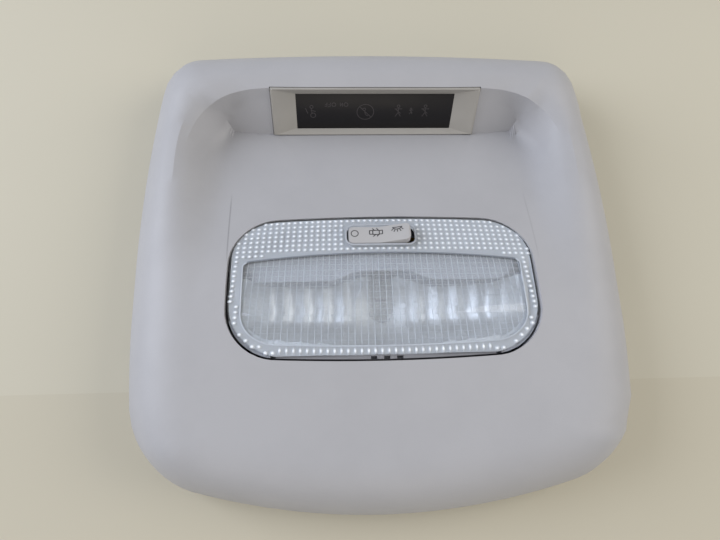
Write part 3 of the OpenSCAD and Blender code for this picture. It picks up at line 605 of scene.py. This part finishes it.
def trimLens():
    # the lens's sides and rear corners are cut to its outline; the switch frame on it is frosted
    half, low, high, lowRadius, highRadius, bow = lensSetup["outline"]
    trim = outlineSheet("lensTrim", half, low - 0.1, high + 2, lowRadius, 8, bow, -bow)
    thicken(trim, 60, 0)
    cutWith(lens, trim, "INTERSECT")
    frostSlot = addSlot(lens, frostLens)
    for face in lens.data.polygons:
        x, y, z = [c / mm for c in face.center]
        if pillInset(x, y) > -0.35 and z > floorHeight(y) + 0.25:
            face.material_index = frostSlot


trimLens()
band = makePrismBand()
print("prism band", len(band.data.polygons))


def makePillows():
    wide, long = lensSetup["pillow"]
    columns, rows = 50, 20
    middle = (lensSetup["windowLow"] + lensSetup["windowHigh"]) / 2 + 1
    deselectAll()
    bpy.ops.mesh.primitive_grid_add(x_subdivisions=columns, y_subdivisions=rows, size=1,
                                    location=(lensSetup["phase"] * wide * mm, middle * mm, 0))
    sheet = bpy.context.object
    sheet.scale = (columns * wide * mm, rows * long * mm, 1)
    placeInMesh()
    for material in (pillowLens, grooveLens):
        sheet.data.materials.append(material)
    # each cell is inset, then drawn out lengthwise so that the cross lines stay fine
    upright, across = lensSetup["groove"]
    bpy.ops.object.mode_set(mode="EDIT")
    bpy.ops.mesh.select_all(action="SELECT")
    bpy.ops.mesh.inset(thickness=upright * mm, depth=lensSetup["pillowRise"] * mm, use_individual=True)
    bpy.ops.object.mode_set(mode="OBJECT")
    rear = (middle - rows * long / 2)
    for corner in sheet.data.vertices:
        if corner.co.z > 0.5 * lensSetup["pillowRise"] * mm:
            cell = ((corner.co.y / mm - rear) / long) % 1
            corner.co.y += (upright - across) * mm * (1 if cell > 0.5 else -1)
    for face in sheet.data.polygons:
        if abs(face.normal.x) > 0.1 or abs(face.normal.y) > 0.1:
            face.material_index = 1
    thicken(sheet, 0, 0.14)
    fanPiece(sheet)
    trim = outlineSheet("windowTrim", *windowArgs)
    thicken(trim, 3, 3)
    cutWith(sheet, trim, "INTERSECT")
    sheet.name = "pillowSheet"
    layOnArch(sheet, -lensSetup["pillowDepth"])
    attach(sheet, "console")
    return sheet


pillows = makePillows()
print("pillow sheet", len(pillows.data.polygons))


def makeRidge():
    ring = outlineSheet("windowRidge", lensSetup["windowHalf"] + 0.25, lensSetup["windowLow"] - 0.25,
                        lensSetup["windowHigh"] + 0.25, lensSetup["windowRadii"][0] + 0.25,
                        lensSetup["windowRadii"][1] + 0.25, *lensSetup["windowBow"])
    thicken(ring, 0.3, 0)
    inner = outlineSheet("ridgeHole", lensSetup["windowHalf"] - 0.25, lensSetup["windowLow"] + 0.25,
                         lensSetup["windowHigh"] - 0.25, lensSetup["windowRadii"][0] - 0.25,
                         lensSetup["windowRadii"][1] - 0.25, *lensSetup["windowBow"])
    thicken(inner, 3, 3)
    cutWith(ring, inner)
    ring.data.materials.append(grooveLens)
    ring.data.materials.append(borderLens)
    # the front border is darker; the ring is split there, at y and x in mm
    borderRear, borderHalf = -4.6, 53
    bpy.ops.object.mode_set(mode="EDIT")
    for place, normal in (((0, borderRear * mm, 0), (0, 1, 0)),
                          ((-borderHalf * mm, 0, 0), (1, 0, 0)),
                          ((borderHalf * mm, 0, 0), (1, 0, 0))):
        bpy.ops.mesh.select_all(action="SELECT")
        bpy.ops.mesh.bisect(plane_co=place, plane_no=normal)
    bpy.ops.object.mode_set(mode="OBJECT")
    for face in ring.data.polygons:
        if face.center.y / mm > borderRear and abs(face.center.x / mm) < borderHalf:
            face.material_index = 1
    layOnArch(ring, -lensSetup["ridgeDepth"])
    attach(ring, "console")


makeRidge()
print("lens optics made")

# the reflector: a fluted trough with a round bowl behind the bulb, in mm; wing is its climb towards
# the ends (height, start, power), end its steep last part (height, inset, reach, power) and back its
# rear wall (height, start, reach, narrowing, power)
reflectorSetup = {"half": 54.5, "rear": -38.4, "front": -0.8, "bowl": -20.4, "bowlRadius": 13.6,
                  "trough": 12, "fluteFrom": 7.5, "flutePitch": 8.2, "fluteDepth": 1.9, "wall": 1.2,
                  "wing": (8, 8, 1.6), "end": (13, 12, 10, 2.2), "back": (24, -23, 14.2, 0.0007, 2.3),
                  "frontRise": 1.7, "frontFrom": -8, "bowlFoot": 7, "bowlRise": 5.5, "bowlPower": 2.4,
                  "lowest": 6.8, "underLens": 2.1, "underShield": 4.9, "shieldFrom": -10,
                  "shadowFrom": -10.3, "shadowArch": (4.5, 22), "columns": 300, "rows": 110,
                  "ends": (-43.2, 16.4), "sideGap": 3.2, "corner": 15,
                  "bulbHole": {"radius": 6.25, "depth": 16, "y": -2, "z": 16.5}}


def reflectorHeight(x, y):
    # height of the metallised face at a place on it, in mm
    s = reflectorSetup
    far = abs(x)
    rise, start, power = s["wing"]
    wing = s["trough"] + rise * (max(0, far - start) / (s["half"] - start)) ** power
    rise, inside, reach, power = s["end"]
    end = rise * (max(0, far - s["half"] + inside) / reach) ** power
    rise, start, reach, narrowing, power = s["back"]
    back = rise * (max(0, start - y) / (reach - narrowing * x * x)) ** power
    front = s["frontRise"] * max(0, y - s["frontFrom"])
    part = (far - s["fluteFrom"]) / s["flutePitch"] % 1
    flute = s["fluteDepth"] * 4 * part * (1 - part) if far > s["fluteFrom"] else 0
    bowl = s["bowlFoot"] + s["bowlRise"] * (math.hypot(x, y - s["bowl"]) / s["bowlRadius"]) ** s["bowlPower"]
    ceiling = floorHeight(y) - s["underLens"] - (s["underShield"] if y > s["shieldFrom"] else 0)
    return min(ceiling, max(s["lowest"], min(wing + end + max(back, front) - flute, bowl)))


def makeReflector():
    s = reflectorSetup
    deselectAll()
    bpy.ops.mesh.primitive_grid_add(x_subdivisions=s["columns"], y_subdivisions=s["rows"], size=1,
                                    location=(0, (s["rear"] + s["front"]) / 2 * mm, 0))
    skin = bpy.context.object
    skin.name = "reflectorSkin"
    skin.scale = (2 * s["half"] * mm, (s["front"] - s["rear"]) * mm, 1)
    placeInMesh()
    for corner in skin.data.vertices:
        corner.co.z = reflectorHeight(corner.co.x / mm, corner.co.y / mm) * mm
    applyModifier("SOLIDIFY", thickness=s["wall"] * mm, offset=-1, use_even_offset=False)
    low, high = s["ends"]
    trim = outlineSheet("reflectorTrim", openingShape["halfWidth"] - s["sideGap"], low + s["sideGap"],
                        high - s["sideGap"], s["corner"], s["corner"])
    thicken(trim, 60, 0)
    cutWith(skin, trim, "INTERSECT")
    hole = s["bulbHole"]
    bpy.ops.mesh.primitive_cylinder_add(vertices=48, radius=hole["radius"] * mm, depth=hole["depth"] * mm,
                                        location=(0, hole["y"] * mm, hole["z"] * mm),
                                        rotation=(math.radians(90), 0, 0))
    drill = bpy.context.object
    placeInMesh()
    cutWith(skin, drill)
    skin.data.materials.append(reflectorMetal)
    # painted shadow: the metal is drawn darker, and a little rougher, under the shield, whose edge arches
    # over the bulb
    shieldShadowSlot = addSlot(skin, shieldShadowMetal)
    archRise, archHalf = s["shadowArch"]
    for face in skin.data.polygons:
        x, y = face.center.x / mm, face.center.y / mm
        if y > s["shadowFrom"] + archRise * max(0, 1 - (x / archHalf) ** 2):
            face.material_index = shieldShadowSlot
    pick(skin)
    bpy.ops.object.shade_smooth_by_angle(angle=math.radians(38))
    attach(skin, "console")
    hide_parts("reflector")
    return skin


reflector = makeReflector()
print("reflector made", len(reflector.data.polygons))


def iconMark(name, material, at=(0, 0), rings=(), strokes=(), width=0.36, height=0.05):
    # a printed mark from rings (x, y, r) and strokes (x, y, x, y), in mm, flat on z = 0
    parts = []
    rings = [(x + at[0], y + at[1], radius) for x, y, radius in rings]
    strokes = [(x0 + at[0], y0 + at[1], x1 + at[0], y1 + at[1]) for x0, y0, x1, y1 in strokes]
    for x, y, radius in rings:
        deselectAll()
        bpy.ops.mesh.primitive_torus_add(location=(x * mm, y * mm, 0), major_radius=radius * mm,
                                         minor_radius=width / 2 * mm, major_segments=36, minor_segments=6)
        bpy.context.object.scale.z = height / width
        placeInMesh()
        parts.append(bpy.context.object)
    for x0, y0, x1, y1 in strokes:
        deselectAll()
        bpy.ops.mesh.primitive_cube_add(size=1, location=((x0 + x1) / 2 * mm, (y0 + y1) / 2 * mm, 0),
                                        rotation=(0, 0, math.atan2(y1 - y0, x1 - x0)))
        bpy.context.object.scale = ((math.hypot(x1 - x0, y1 - y0) + width) * mm, width * mm, height * mm)
        placeInMesh()
        parts.append(bpy.context.object)
    mark = join(parts, name)
    mark.data.materials.clear()
    mark.data.materials.append(material)
    for face in mark.data.polygons:
        face.material_index = 0
    return mark


def chamferStrokes(x0, y0, x1, y1, cut):
    # the strokes of a box with its corners cut off
    corners = [(x0 + cut, y0), (x1 - cut, y0), (x1, y0 + cut), (x1, y1 - cut),
               (x1 - cut, y1), (x0 + cut, y1), (x0, y1 - cut), (x0, y0 + cut)]
    return [a + b for a, b in zip(corners, corners[1:] + corners[:1])]


rockerIcons = {
    "iconOff": {"rings": [(-9.85, 0.75, 1.4)]},
    "iconDoor": {"at": (-1.3, 1.15),
                 "strokes": chamferStrokes(-1.3, -1.0, 1.3, 1.0, 0.25)
                 + chamferStrokes(-2.6, -0.85, -1.3, 0.85, 0.15)
                 + chamferStrokes(1.3, -0.85, 2.6, 0.85, 0.15)
                 + [(-0.5, 0.9, -1.35, 1.75), (1.1, 0.9, 0.35, 1.85),
                    (-0.15, -1.0, -1.1, -1.9), (1.2, -0.9, 0.4, -1.8)]},
    "iconLamp": {"at": (7.3, 1.9),
                 "strokes": [(-1.85, 0.5, 1.85, 0.5), (-1.85, 0.5, -1.1, -0.2), (-1.1, -0.2, -0.4, -0.4),
                             (-0.4, -0.4, 0.4, -0.4), (0.4, -0.4, 1.1, -0.2), (1.1, -0.2, 1.85, 0.5),
                             (-1.75, -0.2, -2.25, -0.65), (-1.0, -0.75, -1.35, -1.35), (0, -0.85, 0, -1.5),
                             (1.0, -0.75, 1.35, -1.35), (1.75, -0.2, 2.25, -0.65)]},
}
rockerPlace = {"origin": (-0.2, 7.5, 29.874), "slope": -14.22, "axle": -4.2, "rest": -7,
               "crown": 4.433, "fall": 0.1238}


def placeOnRocker(mark):
    # follows the key's two slopes, then turns with the key to its place at rest
    s = rockerPlace
    for corner in mark.data.vertices:
        corner.co.z += (s["crown"] + abs(corner.co.x / mm) * s["fall"]) * mm
    pick(mark)
    mark.rotation_euler = (0, math.radians(s["rest"]), 0)
    placeInMesh()
    mark.location = (0, 0, s["axle"] * mm)
    placeInMesh()
    mark.rotation_euler = (math.radians(s["slope"]), 0, 0)
    placeInMesh()
    mark.location = [c * mm for c in s["origin"]]
    placeInMesh()


for name, shapes in rockerIcons.items():
    mark = iconMark(name, iconInk, **shapes)
    placeOnRocker(mark)
    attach(mark, "rocker")
print("rocker icons made")

# faint symbols under the smoked window, seen only where light grazes it
beltFigure = [(0, 1.6, 0, -0.6), (-1.5, 1.2, 1.5, 1.2), (-1.2, 1.1, 1.0, -1.0), (0, -0.6, -1.1, -2.4),
              (0, -0.6, 1.1, -2.4)]
windowIcons = {
    "iconFigure": {"rings": [(-27.8, 2.2, 0.7), (-27.2, -1.9, 1.1)],
                   "strokes": [(-28.0, 1.4, -27.6, -1.0), (-28.0, 0.6, -26.2, 0.0),
                               (-29.6, -0.8, -30.4, 1.4)]},
    "iconOnOff": {"rings": [(-12.7, 3.3, 0.85), (-18.0, 3.3, 0.85)],
                  "strokes": [(-14.2, 2.5, -14.2, 4.1), (-14.2, 4.1, -15.2, 2.5), (-15.2, 2.5, -15.2, 4.1),
                              (-19.5, 2.5, -19.5, 4.1), (-19.5, 2.5, -20.4, 2.5), (-19.5, 3.3, -20.2, 3.3),
                              (-21.0, 2.5, -21.0, 4.1), (-21.0, 2.5, -21.9, 2.5), (-21.0, 3.3, -21.7, 3.3)]},
    "iconNoEntry": {"rings": [(-4.1, -0.3, 3.7), (-4.6, 1.0, 0.6)],
                    "strokes": [(-6.6, 2.2, -1.6, -2.8), (-4.5, 0.3, -4.0, -1.6), (-4.0, -1.6, -3.0, -2.2)]},
}
for name, at, size in (("iconBeltOne", 10.5, 1.0), ("iconBeltTwo", 16.2, 0.5), ("iconBeltThree", 22.5, 1.0)):
    windowIcons[name] = {"rings": [(at, 2.5 * size, 0.6 * size)],
                         "strokes": [(at + a * size, b * size, at + c * size, d * size)
                                     for a, b, c, d in beltFigure]}
wallPlace = {"foot": (0, 61.1, 13.489), "slope": 62, "middle": 11.0, "face": -1.8}
for name, shapes in windowIcons.items():
    mark = iconMark(name, faintIcon, width=0.3, height=0.03, **shapes)
    mark.location = (0, wallPlace["middle"] * mm, wallPlace["face"] * mm)
    placeInMesh()
    mark.rotation_euler = (math.radians(wallPlace["slope"]), 0, 0)
    placeInMesh()
    mark.location = [c * mm for c in wallPlace["foot"]]
    placeInMesh()
    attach(mark, "console")
print("window symbols made")


# the table and the wall behind it, their colours and where they meet, in m
stageSetup = {"table": "#C5BFAC", "wall": "#C9C4B2", "seam": -0.050, "reach": 1.2}


def stagePanel(name, low, high, code):
    deselectAll()
    bpy.ops.mesh.primitive_plane_add(size=1, location=(0, (low + high) / 2, -0.0004))
    panel = bpy.context.object
    panel.name = name
    panel.scale = (2 * stageSetup["reach"], high - low, 1)
    placeInMesh()
    material, tree, place, finish, output = newMaterial(name + "Paint")
    cloud = addNode(tree, "ShaderNodeTexNoise", {"Scale": 6, "Detail": 2}, {"Vector": place})
    tone = addNode(tree, "ShaderNodeValToRGB", links={"Fac": cloud.outputs["Fac"]},
                   stops=[(0.3, shade(code, 0.97)), (0.7, srgb(code))])
    tree.links.new(tone.outputs["Color"], finish.inputs["Base Color"])
    finish.inputs["Roughness"].default_value = 0.7
    panel.data.materials.append(material)


stagePanel("table", -stageSetup["reach"], stageSetup["seam"], stageSetup["table"])
stagePanel("wall", stageSetup["seam"], stageSetup["reach"], stageSetup["wall"])

lampSetup = [
    # name, place, aimed at, size in m, watts, colour
    ("windowLight", (-1.05, 0.25, 0.65), (0, 0, 0.02), 0.9, 11.6, "#EDF2FF"),
    ("roomLight", (1.05, 0.1, 0.75), (0, 0, 0.02), 0.9, 7.0, "#FFF9F0"),
    ("tableGlow", (0.0, -0.9, 0.5), (0, 0, 0.02), 0.7, 1.4, "#FFF0DC"),
]
for name, place, aim, size, watts, code in lampSetup:
    bpy.ops.object.light_add(type="AREA", location=place)
    lamp = bpy.context.object
    lamp.name = name
    lamp.data.shape = "SQUARE"
    lamp.data.size = size
    lamp.data.energy = watts
    lamp.data.color = srgb(code)[:3]
    gaze = [a - b for a, b in zip(aim, place)]
    lamp.rotation_euler = (math.acos(-gaze[2] / math.dist(aim, place)), 0, math.atan2(-gaze[0], gaze[1]))
skySetup = {"colour": "#E8EAEE", "strength": 0.54}
bpy.context.scene.world = bpy.data.worlds.new("studio")
bpy.context.scene.world.use_nodes = True
sky = bpy.context.scene.world.node_tree.nodes["Background"]
sky.inputs["Color"].default_value = srgb(skySetup["colour"])
sky.inputs["Strength"].default_value = skySetup["strength"]
bpy.context.scene.view_settings.view_transform = "Standard"
print("stage and light set")
